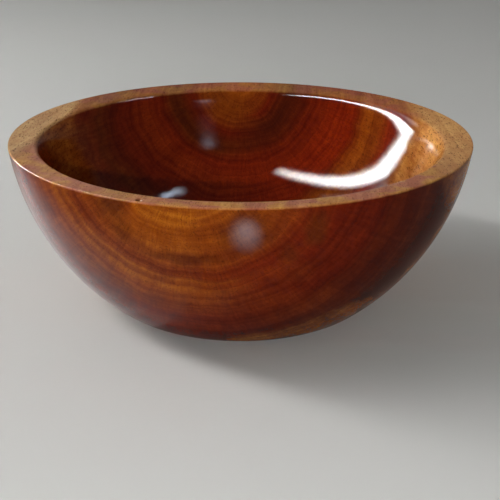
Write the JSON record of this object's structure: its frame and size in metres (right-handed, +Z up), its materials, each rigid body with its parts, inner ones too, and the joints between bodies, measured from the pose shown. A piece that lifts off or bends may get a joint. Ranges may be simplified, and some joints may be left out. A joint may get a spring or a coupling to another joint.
{
  "type": "turned wooden bowl",
  "caption": "Round lathe-turned wooden bowl with a thick inward-sloping rim, a curved wall, a dished inside and a felt disc let into its foot, for holding small things.",
  "frame": {"origin": "centre of the felt disc's underside, on the turning axis, where the bowl stands", "axes": "+Z up along the turning axis, +Y away from the side that the picture was taken from, +X to its right"},
  "size_m": [0.1498, 0.1498, 0.0564],
  "materials": {
    "lacquered_wood": "red-brown hardwood with pale sapwood, under a glossy clear lacquer",
    "felt": "dense matt wool felt"
  },
  "bodies": {
    "root": {"bowl_body": "lacquered_wood", "felt_base_disc": "felt"}
  },
  "joints": []
}
